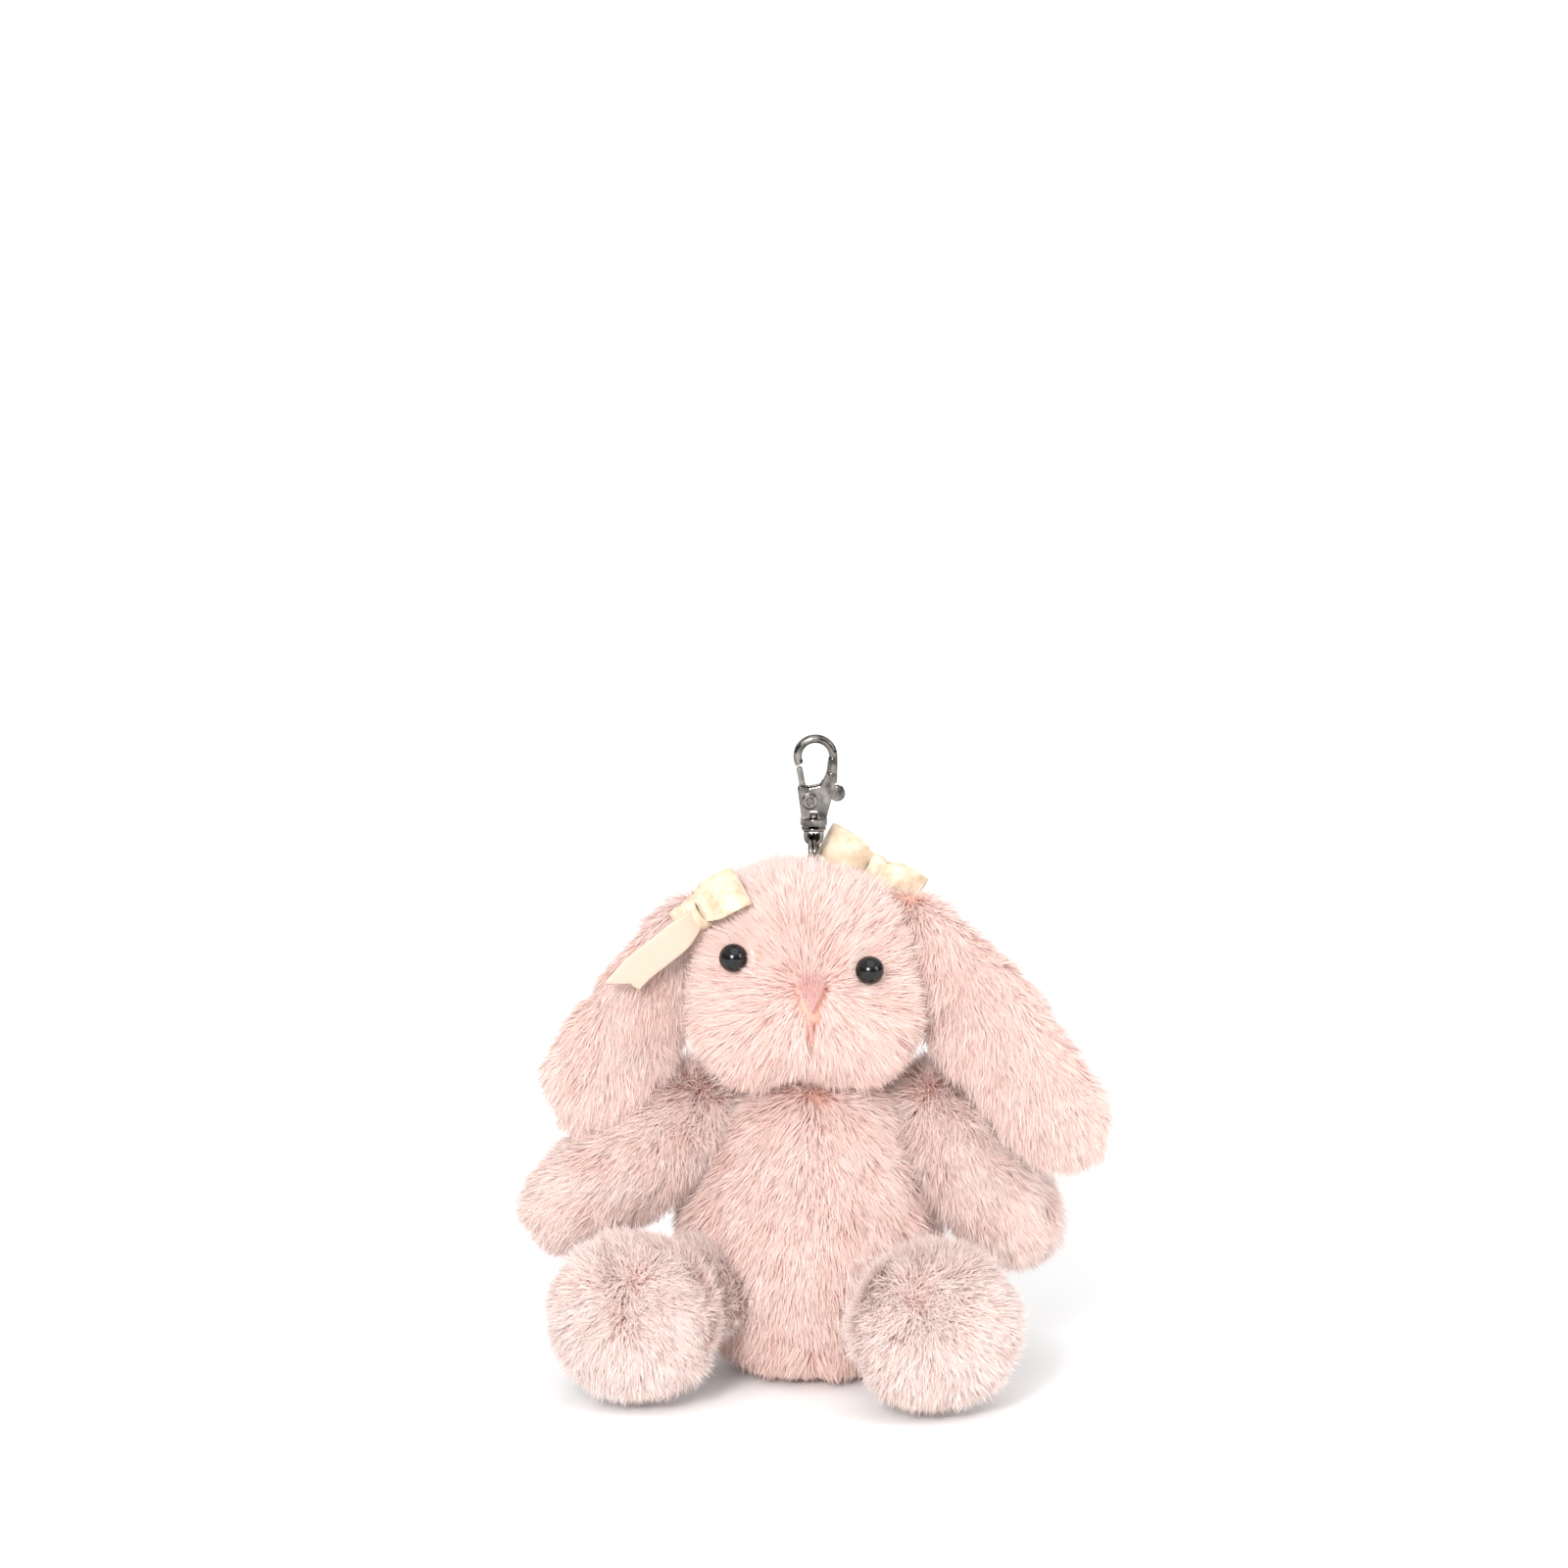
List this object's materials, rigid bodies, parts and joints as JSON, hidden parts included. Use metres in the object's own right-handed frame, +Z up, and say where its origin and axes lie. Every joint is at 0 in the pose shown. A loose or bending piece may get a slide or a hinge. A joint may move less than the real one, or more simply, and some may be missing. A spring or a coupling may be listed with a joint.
{
  "type": "plush keychain",
  "caption": "Seated plush rabbit with hanging lop ears, ribbon bows and jointed limbs, carried by a ribbon loop, split ring and swivelling trigger clasp.",
  "frame": {"origin": "centre of the torso's flat seat, on the surface the toy sits on", "axes": "+Z up through the torso, head and clasp; the face looks along -Y; +X is to the right of a viewer who faces the toy"},
  "size_m": [0.1452, 0.1017, 0.1582],
  "materials": {
    "plush_pile": "soft pink faux-fur pile, matt",
    "stuffing": "white polyester fibre",
    "pouch_cloth": "plain woven inner pouch",
    "eye_black": "polished black",
    "washer_nylon": "natural nylon",
    "nose_thread": "satin-stitched embroidery thread",
    "cream_ribbon": "cream velvet ribbon with a satin back",
    "nickel_plate": "polished nickel plating",
    "spring_steel": "drawn wire"
  },
  "bodies": {
    "torso": {"torso_front_panel": "plush_pile", "torso_back_panel": "plush_pile", "torso_stuffing": "stuffing", "pellet_pouch": "pouch_cloth", "tail_cover": "plush_pile", "tail_stuffing": "stuffing"},
    "head": {"head_left_panel": "plush_pile", "head_gusset": "plush_pile", "head_right_panel": "plush_pile", "head_stuffing": "stuffing", "left_eye": "eye_black", "right_eye": "eye_black", "left_eye_washer": "washer_nylon", "right_eye_washer": "washer_nylon", "nose_stitches": "nose_thread", "mouth_stitch": "nose_thread", "hanging_loop": "cream_ribbon", "left_bow_loops": "cream_ribbon", "left_bow_knot": "cream_ribbon", "left_bow_tails": "cream_ribbon", "right_bow_loops": "cream_ribbon", "right_bow_knot": "cream_ribbon", "right_bow_tails": "cream_ribbon"},
    "left_ear": {"left_ear_front": "plush_pile", "left_ear_back": "plush_pile", "left_ear_wadding": "stuffing"},
    "right_ear": {"right_ear_front": "plush_pile", "right_ear_back": "plush_pile", "right_ear_wadding": "stuffing"},
    "left_arm": {"left_arm_front": "plush_pile", "left_arm_back": "plush_pile", "left_arm_stuffing": "stuffing"},
    "right_arm": {"right_arm_front": "plush_pile", "right_arm_back": "plush_pile", "right_arm_stuffing": "stuffing"},
    "left_leg": {"left_leg_upper": "plush_pile", "left_leg_lower": "plush_pile", "left_foot_sole": "plush_pile", "left_leg_stuffing": "stuffing"},
    "right_leg": {"right_leg_upper": "plush_pile", "right_leg_lower": "plush_pile", "right_foot_sole": "plush_pile", "right_leg_stuffing": "stuffing"},
    "ring": {"split_ring": "nickel_plate"},
    "eye_link": {"swivel_eye": "nickel_plate"},
    "clasp": {"clasp_body": "nickel_plate", "lever_rivet": "nickel_plate", "lever_spring": "spring_steel"},
    "lever": {"clasp_lever": "nickel_plate"}
  },
  "joints": [
    {"name": "head_nod", "type": "hinge", "parent": "torso", "child": "head", "pos_m": [0, 0, 0.057], "axis": [1, 0, 0], "range_deg": [-8, 5], "stiffness_Nm_per_rad": 0.05},
    {"name": "left_ear_lift", "type": "hinge", "parent": "head", "child": "left_ear", "pos_m": [-0.029, 0, 0.113], "axis": [0, 1, 0], "range_deg": [0, 60]},
    {"name": "right_ear_lift", "type": "hinge", "parent": "head", "child": "right_ear", "pos_m": [0.023, 0, 0.113], "axis": [0, -1, 0], "range_deg": [0, 60]},
    {"name": "left_arm_swing", "type": "hinge", "parent": "torso", "child": "left_arm", "pos_m": [-0.028, -0.001, 0.065], "axis": [1, 0, 0], "range_deg": [-5, 40]},
    {"name": "right_arm_swing", "type": "hinge", "parent": "torso", "child": "right_arm", "pos_m": [0.029, -0.001, 0.065], "axis": [1, 0, 0], "range_deg": [-8, 40]},
    {"name": "left_leg_swing", "type": "hinge", "parent": "torso", "child": "left_leg", "pos_m": [-0.0215, -0.0215, 0.016], "axis": [1, 0, 0], "range_deg": [-3, 50]},
    {"name": "right_leg_swing", "type": "hinge", "parent": "torso", "child": "right_leg", "pos_m": [0.0205, -0.0234, 0.016], "axis": [1, 0, 0], "range_deg": [-8, 50]},
    {"name": "ring_roll", "type": "hinge", "parent": "head", "child": "ring", "pos_m": [0, 0, 0.12905], "axis": [1, 0, 0], "range_deg": [-40, 40]},
    {"name": "eye_tilt", "type": "hinge", "parent": "ring", "child": "eye_link", "pos_m": [0, 0, 0.1333], "axis": [0, 1, 0], "range_deg": [-50, 50]},
    {"name": "clasp_swivel", "type": "hinge", "parent": "eye_link", "child": "clasp", "pos_m": [0, 0, 0.136], "axis": [0, 0, 1], "continuous": true},
    {"name": "lever_press", "type": "hinge", "parent": "clasp", "child": "lever", "pos_m": [-0.0009, 0, 0.1421], "axis": [0, 1, 0], "range_deg": [0, 28], "stiffness_Nm_per_rad": 0.004, "springref_deg": -8.59}
  ]
}
